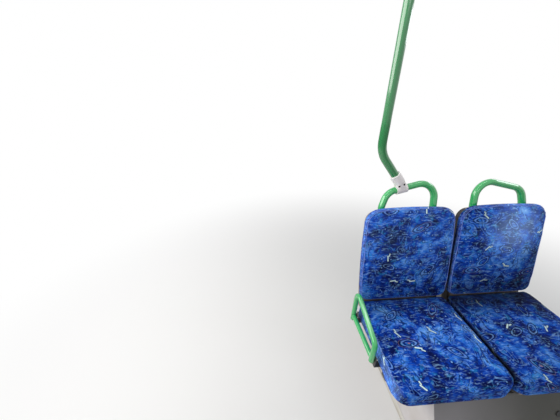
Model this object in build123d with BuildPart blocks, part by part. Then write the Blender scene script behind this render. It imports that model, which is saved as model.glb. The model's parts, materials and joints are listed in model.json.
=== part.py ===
from build123d import *
import os
from math import cos, radians, sin, tan

# Twin passenger seat of a city bus: two seats side by side on a box plinth,
# with grab handles on the backs, a grab loop on the aisle side and a stanchion
# that rises from the aisle seat's handle to the ceiling rail.
# Millimetres. The origin is on the floor, at the middle of the four floor bolts.
# +Z is up, the seats face -Y, the aisle is at -X and the window wall at +X.

os.makedirs("parts", exist_ok=True)

# Each seat, and the side of the pair that it stands on
seats = [
    # name, side
    ("aisle", -1),
    ("window", 1),
]
seat_pitch = 450
fit_gap = 0.3

# Plinth, of folded sheet
plinth_height = 336
plinth_sheet = 3
plinth_aisle_x = -270
plinth_wall_x = 440
plinth_front_foot_y = -370
plinth_front_top_y = -214
plinth_rear_y = 350
plinth_lip = 30
fold_radius = 4
floor_flange = 92
floor_bolt_radius = 5.5
floor_bolt_spacing_x = 400
floor_bolt_spacing_y = 620
trim_width = 9
trim_height = 26
trim_wall = 2

# Cross rails on the plinth, which carry both seats
rail_size = 32
rail_wall = 2.5
rail_corner = 4
rail_overhang = 18
front_rail_y = -120
rail_foot_length = 34
rail_foot_sheet = 4
rail_foot_places = [-205, 205]

# Seat pan and seat pad
pan_depth = 22
pan_wall = 4
pan_inset = 16
pan_rib_count = 3
seat_pad_thickness = 92
seat_pad_front_drop = 12
seat_front_y = -250
seat_front_roll = 34
seat_front_tuck = 14
seat_gap_front = 8
seat_gap_rear = 24
seat_front_corner = 52
seat_rear_corner = 18

# Back pad and back shell, on planes that lean back
waist_y = 138
back_tilt = 12.5
back_pad_depth = 34
back_edge_round = 8
back_height = 452
back_foot_inset = 4
back_half_middle = 216
back_half_shoulder = 204
back_crown = 10
back_top_corner = 66
back_low_corner = 34
shell_inset = 16
shell_wall = 4
shell_depth = 34
shell_flare = 2.5
shell_floor_round = 9
shell_rim_round = 1.5
shell_rib = 4
shell_rib_recess = 3
shell_ledge_height = 176
shell_ribs = [
    # x at the ledge, x at the foot
    (185, 60),
    (95, 25),
]

# Grab handles: a bent tube whose legs run down inside the shell to the rear rail
handle_diameter = 30
tube_wall = 2
handle_half_width = 125
leg_clearance = 0.5
leg_stand_off = 1.5
handle_rise_inner = 120
handle_rise_outer = 68
handle_lean_inner = 2
handle_lean_outer = 23
handle_bend_inner = 70
handle_bend_outer = 64
handle_bend_slack = 60
socket_height = 15
socket_wall = 4

# Grab loop beside the aisle cushion
loop_diameter = 22
loop_stand_off = 34
loop_rear_y = 114
loop_front_y = -95
loop_rise_rear = 98
loop_rise_front = 32
loop_foot_rear = 77
loop_foot_front = 68
loop_bar_drop = 52
loop_bend = 26
loop_bar_diameter = 20
loop_bracket_width = 24
loop_bracket_sheet = 4

# Stanchion from the aisle handle to the ceiling rail: its foot and its bend
# are placed from the clamp's centre on the handle's bar
pole_diameter = 35
pole_foot_out = 16
pole_foot_rise = 35
pole_bend_out = 127
pole_bend_rise = 168
pole_bend_radius = 130
ceiling_rail_height = 1890
ceiling_rail_diameter = 35
ceiling_clamp_length = 60
clamp_x = -266
clamp_wall = 6
clamp_sleeve = 42
clamp_saddle = 48
clamp_saddle_round = 12
clamp_split = 1
clamp_screw_radius = 3
clamp_screw_head_radius = 5
clamp_screw_head_depth = 6
clamp_screw_spacing = 22
clamp_screw_rise = 25

# Widths and heights that follow from the sizes above
seat_half_front = (seat_pitch - seat_gap_front) / 2
seat_half_rear = (seat_pitch - seat_gap_rear) / 2
back_half_foot = seat_half_rear - back_foot_inset
under_deck = plinth_height - plinth_sheet
rail_top = plinth_height + rail_size
pan_top = rail_top + pan_depth
waist_z = pan_top + seat_pad_thickness
tilt = radians(back_tilt)
handle_plane_depth = shell_wall + leg_stand_off + handle_diameter / 2


def shell_front_y(z):
    """Where the shell's front face is at a height."""
    return waist_y + back_pad_depth / cos(tilt) + (z - waist_z) * tan(tilt)


def shell_plane(x):
    """The plane of the shell's front face: X along the row, Y up the back, Z forward."""
    return Plane(origin=(x, shell_front_y(waist_z), waist_z), x_dir=(1, 0, 0),
                 z_dir=(0, -cos(tilt), sin(tilt)))


def handle_axis_y(z):
    """Where the handle legs' axes are at a height."""
    return shell_front_y(z) + handle_plane_depth / cos(tilt)


def tube(route, diameter, wall):
    """Sweeps a tube along a route inside the part that is being made."""
    with BuildSketch(Plane(origin=route @ 0, z_dir=route % 0), mode=Mode.PRIVATE) as ring:
        Circle(diameter / 2)
        Circle(diameter / 2 - wall, mode=Mode.SUBTRACT)
    sweep(ring.sketch, path=route)


def save(part, name):
    part.label = name
    export_step(part, f"parts/{name}.step")


# Plinth: folded front and rear sheets with floor flanges, between two side plates
plinth_mid_x = (plinth_aisle_x + plinth_wall_x) / 2
plinth_width = plinth_wall_x - plinth_aisle_x - 2 * plinth_sheet
floor_bolts = [(x, y) for x in (-floor_bolt_spacing_x / 2, floor_bolt_spacing_x / 2)
               for y in (-floor_bolt_spacing_y / 2, floor_bolt_spacing_y / 2)]
ends = [
    # name, foot y, top y, way in
    ("plinth_front", plinth_front_foot_y, plinth_front_top_y, 1),
    ("plinth_rear", plinth_rear_y, plinth_rear_y, -1),
]
for name, foot_y, top_y, way_in in ends:
    with BuildPart() as folded_sheet:
        with BuildSketch(Plane.YZ.offset(plinth_mid_x)):
            with BuildLine():
                FilletPolyline((foot_y + way_in * floor_flange, 0), (foot_y, 0), (top_y, under_deck),
                               (top_y + way_in * plinth_lip, under_deck),
                               radius=fold_radius + plinth_sheet)
                offset(amount=plinth_sheet, side=Side.RIGHT if way_in > 0 else Side.LEFT)
            make_face()
        extrude(amount=plinth_width / 2, both=True)
        with Locations(*[(x, y, plinth_sheet) for x, y in floor_bolts if y * way_in < 0]):
            Hole(floor_bolt_radius, depth=plinth_sheet)
    save(folded_sheet.part, name)

side_plates = [
    # name, x of the outer face, way in
    ("plinth_side_aisle", plinth_aisle_x, 1),
    ("plinth_side_wall", plinth_wall_x, -1),
]
for name, outer_x, way_in in side_plates:
    with BuildPart() as side_plate:
        with BuildSketch(Plane.YZ.offset(outer_x)) as plate:
            Polygon((plinth_front_foot_y, 0), (plinth_rear_y, 0),
                    (plinth_rear_y, under_deck), (plinth_front_top_y, under_deck), align=None)
            fillet(plate.vertices(), fold_radius + plinth_sheet)
        extrude(amount=way_in * plinth_sheet)
    save(side_plate.part, name)

with BuildPart() as deck:
    with BuildSketch(Plane.XY.offset(under_deck)):
        with Locations((plinth_mid_x, (plinth_front_top_y + plinth_rear_y) / 2)):
            Rectangle(plinth_wall_x - plinth_aisle_x, plinth_rear_y - plinth_front_top_y)
    extrude(amount=plinth_sheet)
save(deck.part, "plinth_deck")

with BuildPart() as trim:
    with BuildSketch(Plane.XZ.offset(-plinth_rear_y)):
        with BuildLine():
            Polyline((plinth_aisle_x, trim_height), (plinth_aisle_x, 0),
                     (plinth_aisle_x - trim_width, 0))
            offset(amount=trim_wall, side=Side.RIGHT)
        make_face()
    extrude(amount=plinth_rear_y - plinth_front_foot_y)
save(trim.part, "plinth_base_trim")

# Cross rails, box section, held on the deck by angle feet
rail_half_length = seat_pitch / 2 + seat_half_rear - rail_overhang
rails = [
    # name, y
    ("rail_front", front_rail_y),
    ("rail_rear", handle_axis_y(rail_top)),
]
for name, rail_y in rails:
    with BuildPart() as rail:
        with BuildSketch(Plane.YZ):
            with Locations((rail_y, plinth_height + rail_size / 2)):
                RectangleRounded(rail_size, rail_size, rail_corner)
                Rectangle(rail_size - 2 * rail_wall, rail_size - 2 * rail_wall, mode=Mode.SUBTRACT)
        extrude(amount=rail_half_length, both=True)
    save(rail.part, name)

    with BuildPart() as rail_feet:
        for x in rail_foot_places:
            for way in (-1, 1):
                face_y = rail_y + way * rail_size / 2
                with BuildSketch(Plane.YZ.offset(x)):
                    with BuildLine():
                        Polyline((face_y, rail_top - rail_corner), (face_y, plinth_height),
                                 (face_y + way * rail_foot_length, plinth_height))
                        offset(amount=rail_foot_sheet, side=Side.LEFT if way > 0 else Side.RIGHT)
                    make_face()
                extrude(amount=rail_foot_length / 2, both=True)
    save(rail_feet.part, f"{name}_feet")

# Seats: pan, seat pad, back shell, back pad and handle, once for each side
seat_rear_y = shell_front_y(pan_top) - fit_gap


def seat_outline(inset):
    """The plan of a seat: wider at the front, with round front corners."""
    with BuildSketch(Plane.XY, mode=Mode.PRIVATE) as outline:
        Polygon((-seat_half_front, seat_front_y), (seat_half_front, seat_front_y),
                (seat_half_rear, seat_rear_y), (-seat_half_rear, seat_rear_y), align=None)
        fillet(outline.vertices().group_by(Axis.Y)[0], seat_front_corner)
        fillet(outline.vertices().group_by(Axis.Y)[-1], seat_rear_corner)
        if inset:
            offset(amount=-inset)
    return outline.sketch


def seat_half_width(y):
    """Half the width of a seat at a place between its front and its rear."""
    along = (y - seat_front_y) / (seat_rear_y - seat_front_y)
    return seat_half_front + along * (seat_half_rear - seat_half_front)


def back_outline(foot, inset):
    """The outline of a back down to its foot: full sides, a crowned top and round corners."""
    low = foot + inset
    shoulder = back_height - back_crown - inset
    with BuildSketch(Plane.XY, mode=Mode.PRIVATE) as outline:
        with BuildLine():
            Line((inset - back_half_foot, low), (back_half_foot - inset, low))
            for way in (-1, 1):
                ThreePointArc((way * (back_half_foot - inset), low),
                              (way * (back_half_middle - inset), (low + shoulder) / 2),
                              (way * (back_half_shoulder - inset), shoulder))
            ThreePointArc((back_half_shoulder - inset, shoulder), (0, back_height - inset),
                          (inset - back_half_shoulder, shoulder))
        make_face()
        fillet(outline.vertices().group_by(Axis.Y)[-1], back_top_corner - inset)
        fillet(outline.vertices().group_by(Axis.Y)[0], back_low_corner - inset)
    return outline.sketch


def handle_route(side):
    """The corners of a handle in its own plane, from the outer leg to the inner one."""
    outer = side * handle_half_width
    inner = -outer
    return [
        (outer, back_height),
        (outer - side * handle_lean_outer, back_height + handle_rise_outer),
        (inner + side * handle_lean_inner, back_height + handle_rise_inner),
        (inner, back_height),
    ]


for seat, side in seats:
    centre_x = side * seat_pitch / 2
    shell_face = shell_plane(centre_x)
    handle_plane = shell_face.offset(-handle_plane_depth)
    leg_foot = (rail_top + fit_gap + handle_diameter / 2 * sin(tilt)
                - handle_plane.origin.Z) / cos(tilt)
    shell_foot = (pan_top + fit_gap - waist_z) / cos(tilt)

    with BuildPart() as pan:
        with BuildSketch(Plane.XY.offset(rail_top)):
            with Locations((centre_x, 0)):
                add(seat_outline(pan_inset))
        extrude(amount=pan_depth)
        with BuildSketch(Plane.XY.offset(rail_top)):
            with Locations((centre_x, 0)):
                add(seat_outline(pan_inset + pan_wall))
            with Locations((centre_x, (seat_front_y + seat_rear_y) / 2)):
                with GridLocations((seat_half_rear - pan_inset) / 2, 0, pan_rib_count, 1):
                    Rectangle(pan_wall, seat_rear_y - seat_front_y, mode=Mode.SUBTRACT)
        extrude(amount=pan_depth - pan_wall, mode=Mode.SUBTRACT)
    save(pan.part, f"seat_pan_{seat}")

    with BuildPart() as seat_pad:
        with BuildSketch(Plane.YZ.offset(centre_x)) as profile:
            Polygon((seat_rear_y, pan_top), (seat_rear_y, waist_z), (waist_y, waist_z),
                    (seat_front_y, waist_z - seat_pad_front_drop), (seat_front_y, pan_top),
                    align=None)
            tuck, nose = profile.vertices().group_by(Axis.X)[0].sort_by(Axis.Y)
            fillet(nose, seat_front_roll)
            fillet(tuck, seat_front_tuck)
        extrude(amount=seat_half_front, both=True)
        with BuildSketch(Plane.XY):
            with Locations((centre_x, 0)):
                add(seat_outline(0))
        extrude(amount=waist_z, mode=Mode.INTERSECT)
    save(seat_pad.part, f"seat_pad_{seat}")

    with BuildPart() as back_shell:
        # A dish whose walls flare towards the rear, with a round floor and a round rim
        for front_depth, wall, mode in ((0, 0, Mode.ADD), (shell_wall, shell_wall, Mode.SUBTRACT)):
            with BuildSketch(shell_face.offset(-front_depth)):
                add(back_outline(shell_foot, shell_inset + wall))
            with BuildSketch(shell_face.offset(-shell_depth)):
                add(back_outline(shell_foot, shell_inset + wall - shell_flare))
            loft(mode=mode)
        forward = Axis(shell_face.origin, shell_face.z_dir)
        rim, floor = back_shell.faces().filter_by(forward).sort_by(forward)[:2]
        fillet(floor.edges(), shell_floor_round)
        fillet(rim.edges(), shell_rim_round)
        # The ledge and the ribs that run down and in from it
        with BuildSketch(shell_face.offset(-shell_wall)):
            with Locations((0, shell_ledge_height)):
                Rectangle(2 * back_half_middle, shell_rib)
            for way in (-1, 1):
                for ledge_x, foot_x in shell_ribs:
                    with BuildLine():
                        Line((way * ledge_x, shell_ledge_height), (way * foot_x, shell_foot))
                    trace(line_width=shell_rib)
            add(back_outline(shell_foot, shell_inset), mode=Mode.INTERSECT)
        extrude(amount=-(shell_depth - shell_wall - shell_rib_recess))
        # Passages for the handle's legs
        for x in (-handle_half_width, handle_half_width):
            leg_low = handle_plane.from_local_coords((x, shell_foot - shell_wall, 0))
            with BuildSketch(Plane(origin=leg_low, z_dir=handle_plane.y_dir)):
                Circle(handle_diameter / 2 + leg_clearance)
            extrude(amount=back_height - shell_foot + 2 * shell_wall, mode=Mode.SUBTRACT)
    save(back_shell.part, f"back_shell_{seat}")

    with BuildPart() as back_pad:
        with BuildSketch(shell_face):
            add(back_outline(fit_gap, 0))
        extrude(amount=back_pad_depth)
        front = back_pad.faces().sort_by(Axis(shell_face.origin, shell_face.z_dir))[-1]
        fillet(front.edges(), back_edge_round)
    save(back_pad.part, f"back_pad_{seat}")

    with BuildPart() as handle:
        knee_out, corner_out, corner_in, knee_in = handle_route(side)
        with BuildLine(handle_plane) as route:
            FilletPolyline((knee_out[0], leg_foot), knee_out, corner_out, corner_in, knee_in,
                           (knee_in[0], leg_foot),
                           radius=[handle_bend_slack, handle_bend_outer, handle_bend_inner,
                                   handle_bend_slack])
        tube(route.line, handle_diameter, tube_wall)
    save(handle.part, f"handle_{seat}")

    with BuildPart() as sockets:
        for x in (-handle_half_width, handle_half_width):
            leg_end = handle_plane.from_local_coords((x, leg_foot, 0))
            with BuildSketch(Plane(origin=leg_end, z_dir=handle_plane.y_dir)):
                Circle(handle_diameter / 2 + fit_gap + socket_wall)
                Circle(handle_diameter / 2 + fit_gap, mode=Mode.SUBTRACT)
            extrude(amount=socket_height)
        split(bisect_by=Plane.XY.offset(rail_top), keep=Keep.TOP)
    save(sockets.part, f"handle_sockets_{seat}")

# Grab loop: a bent tube with a straight bar between its legs, on two brackets
loop_x = -(seat_pitch / 2 + seat_half_width(loop_front_y - loop_bracket_width / 2) + loop_stand_off)
bar_z = waist_z - loop_bar_drop
loop_plane = Plane.YZ.offset(loop_x)
with BuildPart() as loop:
    with BuildLine(loop_plane) as route:
        FilletPolyline((loop_rear_y, waist_z - loop_foot_rear),
                       (loop_rear_y, waist_z + loop_rise_rear),
                       (loop_front_y, waist_z + loop_rise_front),
                       (loop_front_y, waist_z - loop_foot_front), radius=loop_bend)
    tube(route.line, loop_diameter, tube_wall)
    for end in (0, 1):
        with BuildSketch(Plane(origin=route.line @ end, z_dir=(0, 0, 1))):
            Circle(loop_diameter / 2 - tube_wall)
        extrude(amount=tube_wall)
save(loop.part, "loop")

with BuildPart() as loop_bar:
    with BuildSketch(Plane.XZ.offset(-loop_rear_y)):
        with Locations((loop_x, bar_z)):
            Circle(loop_bar_diameter / 2)
            Circle(loop_bar_diameter / 2 - tube_wall, mode=Mode.SUBTRACT)
    extrude(amount=loop_rear_y - loop_front_y)
    with BuildSketch(Plane.XY.offset(pan_top)):
        with Locations((loop_x, loop_rear_y), (loop_x, loop_front_y)):
            Circle(loop_diameter / 2)
    extrude(amount=seat_pad_thickness, mode=Mode.SUBTRACT)
save(loop_bar.part, "loop_bar")

with BuildPart() as loop_brackets:
    bracket_x = loop_x + loop_diameter / 2
    under_pad = pan_top - loop_bracket_sheet - fit_gap
    for y in (loop_front_y, loop_rear_y):
        widest_y = y - loop_bracket_width / 2
        pan_side_x = -(seat_pitch / 2 + seat_half_width(widest_y) - pan_inset)
        flange_x = pan_side_x - loop_bracket_sheet - fit_gap
        with BuildSketch(Plane.XZ.offset(-y)):
            with BuildLine():
                Polyline((bracket_x, bar_z + loop_bar_diameter / 2), (bracket_x, under_pad),
                         (flange_x, under_pad), (flange_x, rail_top))
                offset(amount=loop_bracket_sheet, side=Side.LEFT)
            make_face()
        extrude(amount=loop_bracket_width / 2, both=True)
save(loop_brackets.part, "loop_brackets")

# Stanchion: upright, then bent in towards the aisle seat's handle
aisle_x = -seat_pitch / 2
aisle_handle_plane = shell_plane(aisle_x).offset(-handle_plane_depth)
knee_out, corner_out, corner_in, knee_in = handle_route(-1)
along = (clamp_x - aisle_x - corner_out[0]) / (corner_in[0] - corner_out[0])
clamp_up = corner_out[1] + along * (corner_in[1] - corner_out[1])
clamp_centre = aisle_handle_plane.from_local_coords((clamp_x - aisle_x, clamp_up, 0))
bar_start = aisle_handle_plane.from_local_coords((corner_out[0], corner_out[1], 0))
bar_direction = (clamp_centre - bar_start).normalized()
pole_x = clamp_x - pole_bend_out
pole_y = clamp_centre.Y
pole_top = ceiling_rail_height - ceiling_rail_diameter / 2 - clamp_wall
pole_foot = clamp_centre + Vector(-pole_foot_out, 0, pole_foot_rise)
pole_bend = clamp_centre + Vector(-pole_bend_out, 0, pole_bend_rise)
pole_direction = (pole_bend - pole_foot).normalized()

with BuildPart() as pole:
    with BuildLine() as route:
        FilletPolyline((pole_x, pole_y, pole_top), pole_bend, pole_foot, radius=pole_bend_radius)
    tube(route.line, pole_diameter, tube_wall)
save(pole.part, "pole")

# Lower clamp: a sleeve on the pole's end that runs over into a saddle round the
# handle's bar, in two halves that two countersunk screws draw together
sleeve_plane = Plane(origin=pole_foot, x_dir=(0, 1, 0), z_dir=pole_direction)
neck = pole_foot - clamp_centre
saddle_plane = Plane(origin=clamp_centre, x_dir=(0, 1, 0), z_dir=neck.normalized())
screw_centre = clamp_centre + neck.normalized() * clamp_screw_rise
screw_plane = Plane(origin=screw_centre - Vector(0, handle_diameter / 2 + clamp_wall, 0),
                    x_dir=saddle_plane.y_dir, z_dir=(0, -1, 0))
with BuildPart() as clamp:
    with BuildSketch(sleeve_plane):
        Circle(pole_diameter / 2 + clamp_wall)
    extrude(amount=clamp_sleeve)
    with BuildSketch(sleeve_plane):
        Circle(pole_diameter / 2 + clamp_wall)
    with BuildSketch(saddle_plane):
        RectangleRounded(handle_diameter + 2 * clamp_wall, clamp_saddle, clamp_saddle_round)
    loft()
    with BuildSketch(Plane(origin=clamp_centre, z_dir=bar_direction)):
        Circle(handle_diameter / 2 + clamp_wall)
    extrude(amount=clamp_saddle / 2, both=True)
    with BuildSketch(sleeve_plane):
        Circle(pole_diameter / 2)
    extrude(amount=clamp_sleeve, mode=Mode.SUBTRACT)
    with BuildSketch(Plane(origin=clamp_centre, z_dir=bar_direction)):
        Circle(handle_diameter / 2)
    extrude(amount=clamp_saddle, both=True, mode=Mode.SUBTRACT)
    with Locations(screw_plane):
        with GridLocations(clamp_screw_spacing, 0, 2, 1):
            CounterBoreHole(clamp_screw_radius, clamp_screw_head_radius, clamp_screw_head_depth)
halves = [
    # name, way along Y
    ("pole_clamp_front", -1),
    ("pole_clamp_rear", 1),
]
for name, way in halves:
    with BuildPart() as half:
        add(clamp.part)
        split(bisect_by=Plane(origin=(0, pole_y + way * clamp_split / 2, 0), z_dir=(0, way, 0)))
    save(half.part, name)

# Ceiling clamp: a sleeve on the pole's top and one round the ceiling rail, in two halves
with BuildPart() as ceiling_clamp:
    with BuildSketch(Plane.XY.offset(pole_top - clamp_sleeve)):
        with Locations((pole_x, pole_y)):
            Circle(pole_diameter / 2 + clamp_wall)
    extrude(amount=clamp_sleeve + clamp_wall)
    with BuildSketch(Plane.XZ.offset(-pole_y)):
        with Locations((pole_x, ceiling_rail_height)):
            Circle(ceiling_rail_diameter / 2 + clamp_wall)
    extrude(amount=ceiling_clamp_length / 2, both=True)
    with BuildSketch(Plane.XY.offset(pole_top - clamp_sleeve)):
        with Locations((pole_x, pole_y)):
            Circle(pole_diameter / 2)
    extrude(amount=clamp_sleeve, mode=Mode.SUBTRACT)
    with BuildSketch(Plane.XZ.offset(-pole_y)):
        with Locations((pole_x, ceiling_rail_height)):
            Circle(ceiling_rail_diameter / 2)
    extrude(amount=ceiling_clamp_length, both=True, mode=Mode.SUBTRACT)
halves = [
    # name, way along X
    ("ceiling_clamp_aisle", -1),
    ("ceiling_clamp_wall", 1),
]
for name, way in halves:
    with BuildPart() as half:
        add(ceiling_clamp.part)
        split(bisect_by=Plane(origin=(pole_x + way * clamp_split / 2, 0, 0), z_dir=(way, 0, 0)))
    save(half.part, name)
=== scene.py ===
# %% [markdown]
# # A twin city bus seat
#
# This lesson dresses a finished CAD model of two bus seats: a box plinth, two
# cushions with backs, green grab handles, a grab loop and a stanchion.
# The CAD parts give every size. Blender adds what a solid modeller doesn't do well:
# stuffed pads, patterned velour, moulded plastic, gloss paint, seams and screws.

# %% Load the CAD model as a fixed frame
import json
from collections import namedtuple
from math import cos, pi, radians, sin

import bmesh
import bpy
from mathutils import Matrix, Vector


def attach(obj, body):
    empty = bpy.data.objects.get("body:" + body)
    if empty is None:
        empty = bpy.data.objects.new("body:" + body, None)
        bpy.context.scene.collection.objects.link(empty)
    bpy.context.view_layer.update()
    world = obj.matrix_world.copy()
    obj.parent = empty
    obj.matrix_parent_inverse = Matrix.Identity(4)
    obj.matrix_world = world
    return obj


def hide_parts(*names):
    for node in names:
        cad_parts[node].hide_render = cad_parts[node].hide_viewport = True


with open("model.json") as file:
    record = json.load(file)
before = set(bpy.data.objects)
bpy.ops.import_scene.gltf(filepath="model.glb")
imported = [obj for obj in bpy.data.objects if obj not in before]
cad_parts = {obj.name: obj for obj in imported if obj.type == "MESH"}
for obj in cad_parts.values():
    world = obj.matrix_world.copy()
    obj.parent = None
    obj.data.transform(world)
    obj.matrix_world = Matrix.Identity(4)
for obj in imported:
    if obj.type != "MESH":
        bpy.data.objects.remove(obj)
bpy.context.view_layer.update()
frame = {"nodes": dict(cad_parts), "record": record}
nodes = frame["nodes"]

# %% [markdown]
# ## Camera
#
# The camera stands close in front of the aisle seat, a little below eye height, with
# a very wide lens. Lengths are in metres and the seats face -Y. A camera looks along
# its own -Z, so an X turn of 90 degrees is level.

# %% Camera
camera_place = (-0.8909, -0.6573, 1.3869)
camera_pitch_down = 26.15
camera_turn_right = 4.29
camera_lens = 15.174


def new_object(name, data):
    """Makes an object from its data and puts it in the scene."""
    made = bpy.data.objects.new(name, data)
    bpy.context.scene.collection.objects.link(made)
    return made


camera_data = bpy.data.cameras.new("camera")
camera_data.lens = camera_lens
camera_data.clip_start = 0.05
camera_data.clip_end = 100
camera = new_object("camera", camera_data)
camera.location = camera_place
camera.rotation_euler = (radians(90 - camera_pitch_down), 0, radians(-camera_turn_right))
bpy.context.scene.camera = camera
print("camera lens:", camera_data.lens, "mm")

# %% [markdown]
# ## Shader maths as expressions
#
# Patterns need arithmetic on sockets. Adding Math nodes by hand is slow to read,
# so one small class wraps a socket and lets Python's operators add the nodes.
# A second class holds a material and has the one method that adds any other node.

# %% Sockets that can be calculated with
class Value:
    """A number that varies over a surface: the output socket of a node."""

    def __init__(self, finish, socket):
        self.finish = finish
        self.socket = socket

    def same_node(self, output):
        """Another output of the same node."""
        return Value(self.finish, self.socket.node.outputs[output])

    def maths(self, operation, *others):
        """A Math node on this value and any others."""
        inputs = dict(enumerate((self, *others)))
        return self.finish.node("Math", {"operation": operation}, inputs)

    def __add__(self, other):
        return self.maths("ADD", other)

    def __mul__(self, other):
        return self.maths("MULTIPLY", other)

    __radd__ = __add__
    __rmul__ = __mul__

    def __sub__(self, other):
        return self.maths("SUBTRACT", other)

    def __rsub__(self, other):
        return self.finish.node("Math", {"operation": "SUBTRACT"}, {0: other, 1: self})

    def __truediv__(self, other):
        return self.maths("DIVIDE", other)

    def __pow__(self, other):
        return self.maths("POWER", other)

    def __abs__(self):
        return self.maths("ABSOLUTE")

    def least(self, other):
        return self.maths("MINIMUM", other)

    def most(self, other):
        return self.maths("MAXIMUM", other)

    def rise(self, low, high):
        """0 below low, 1 above high and a smooth step between; low above high turns it round."""
        return self.finish.node("MapRange", {"interpolation_type": "SMOOTHSTEP"},
                                {"Value": self, "From Min": low, "From Max": high})


print("a Value's named methods:", *[name for name in vars(Value) if name[0] != "_"])

# %% Materials and their nodes
class Finish:
    """A material in the making."""

    def __init__(self, name, colour, roughness, **constants):
        self.material = bpy.data.materials.new(name)
        self.material.use_nodes = True
        self.tree = self.material.node_tree
        self.surface = self.tree.nodes["Principled BSDF"]
        self.put(self.surface.inputs["Base Color"], (*colour, 1))
        self.put(self.surface.inputs["Roughness"], roughness)
        for socket, value in constants.items():
            self.put(self.surface.inputs[socket.replace("_", " ")], value)

    def put(self, socket, value):
        """Links a Value to a socket, or sets the socket's own value."""
        if isinstance(value, Value):
            self.tree.links.new(value.socket, socket)
        else:
            socket.default_value = value

    def node(self, kind, settings=None, inputs=None, output=0):
        """Adds any shader node: its settings first, then the values or links of its inputs."""
        made = self.tree.nodes.new("ShaderNode" + kind)
        for name, value in (settings or {}).items():
            if name == "stops":
                ramp = made.color_ramp.elements
                while len(ramp) < len(value):
                    ramp.new(1)
                for stop, (place, colour) in zip(ramp, value):
                    stop.position = place
                    stop.color = (*colour, 1)
            else:
                setattr(made, name, value)
        for name, value in (inputs or {}).items():
            self.put(made.inputs[name], value)
        return Value(self, made.outputs[output])

    def object_place(self, scale=(1, 1, 1)):
        """Object coordinates in metres, scaled."""
        place = self.node("TexCoord", output="Object")
        return self.node("Mapping", inputs={"Vector": place, "Scale": scale})

    def noise(self, place, scale, detail=2.0, distortion=0.0, roughness=0.5, output=0):
        """A cloudy number round 0.5, with about scale clouds to a metre."""
        return self.node("TexNoise", inputs={
            "Vector": place, "Scale": scale, "Detail": detail,
            "Roughness": roughness, "Distortion": distortion}, output=output)

    def blend(self, amount, under, over, how="MIX"):
        """Mixes two colours; colours go through Mix, since Math would turn them grey."""
        def colour(value):
            return value if isinstance(value, Value) else (*value, 1)
        return self.node("Mix", {"data_type": "RGBA", "blend_type": how},
                         {0: amount, 6: colour(under), 7: colour(over)}, output=2)

    def relief(self, height, distance, strength=1.0):
        """A bump from a height between 0 and 1, with distance as its depth in metres."""
        bump = self.node("Bump", inputs={"Strength": strength, "Distance": distance,
                                         "Height": height})
        self.put(self.surface.inputs["Normal"], bump)

    def feed(self, **values):
        """Sets or links the shader's own sockets."""
        for socket, value in values.items():
            self.put(self.surface.inputs[socket.replace("_", " ")], value)


def linear(red, green, blue):
    """A colour as the eye reads it, 0 to 255, turned into the linear light that shaders use."""
    def channel(value):
        value /= 255
        return value / 12.92 if value <= 0.04045 else ((value + 0.055) / 1.055) ** 2.4
    return channel(red), channel(green), channel(blue)


print("a mid grey of 128 is", round(linear(128, 128, 128)[0], 3), "in linear light")

# %% [markdown]
# ## Floor and light
#
# A plain pale floor catches the shadow and fades to white away from the seats, so
# that no horizon shows. The light is soft: an even world, and large lamps on both
# sides, above and in front. Light Path makes the background white for the camera and
# for reflections only, so it adds nothing to the light on the seats.

# %% World
world_strength = 0.34

world = bpy.data.worlds.new("studio")
bpy.context.scene.world = world
world.use_nodes = True
world_tree = world.node_tree
background = world_tree.nodes["Background"]
background.inputs["Color"].default_value = (1, 1, 1, 1)
light_path = world_tree.nodes.new("ShaderNodeLightPath")
seen = light_path.outputs["Is Camera Ray"]
for ray in ("Is Glossy Ray", "Is Transmission Ray"):
    either = world_tree.nodes.new("ShaderNodeMath")
    either.operation = "MAXIMUM"
    world_tree.links.new(seen, either.inputs[0])
    world_tree.links.new(light_path.outputs[ray], either.inputs[1])
    seen = either.outputs[0]
strength = world_tree.nodes.new("ShaderNodeMapRange")
strength.inputs["To Min"].default_value = world_strength
strength.inputs["To Max"].default_value = 1
world_tree.links.new(seen, strength.inputs["Value"])
world_tree.links.new(strength.outputs[0], background.inputs["Strength"])
bpy.context.scene.view_settings.view_transform = "Standard"
print("world strength:", world_strength)

# %% Floor
floor_half_size = 12
floor_fade_start = 0.7
floor_fade_end = 3.0


def mesh_from(name, form):
    """Turns a bmesh into a mesh and frees it."""
    mesh = bpy.data.meshes.new(name)
    form.to_mesh(mesh)
    form.free()
    return mesh


floor_form = bmesh.new()
bmesh.ops.create_grid(floor_form, x_segments=1, y_segments=1, size=floor_half_size)
floor = new_object("floor", mesh_from("floor", floor_form))

floor_finish = Finish("floor", (0.8, 0.8, 0.8), 0.9, Specular_IOR_Level=0.1)
away = floor_finish.node("VectorMath", {"operation": "LENGTH"},
                         {0: floor_finish.node("TexCoord", output="Object")}, output="Value")
lit_aisle_side = away.rise(floor_fade_start, floor_fade_end)
camera_ray = floor_finish.node("LightPath", output="Is Camera Ray")
white = floor_finish.node("Emission", inputs={"Color": (1, 1, 1, 1), "Strength": 1})
shaded = Value(floor_finish, floor_finish.surface.outputs[0])
mixed = floor_finish.node("MixShader", inputs={0: lit_aisle_side * camera_ray, 1: shaded, 2: white})
floor_out = floor_finish.tree.nodes["Material Output"]
floor_finish.put(floor_out.inputs["Surface"], mixed)
floor.data.materials.append(floor_finish.material)
print("floor:", 2 * floor_half_size, "m square")

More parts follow.
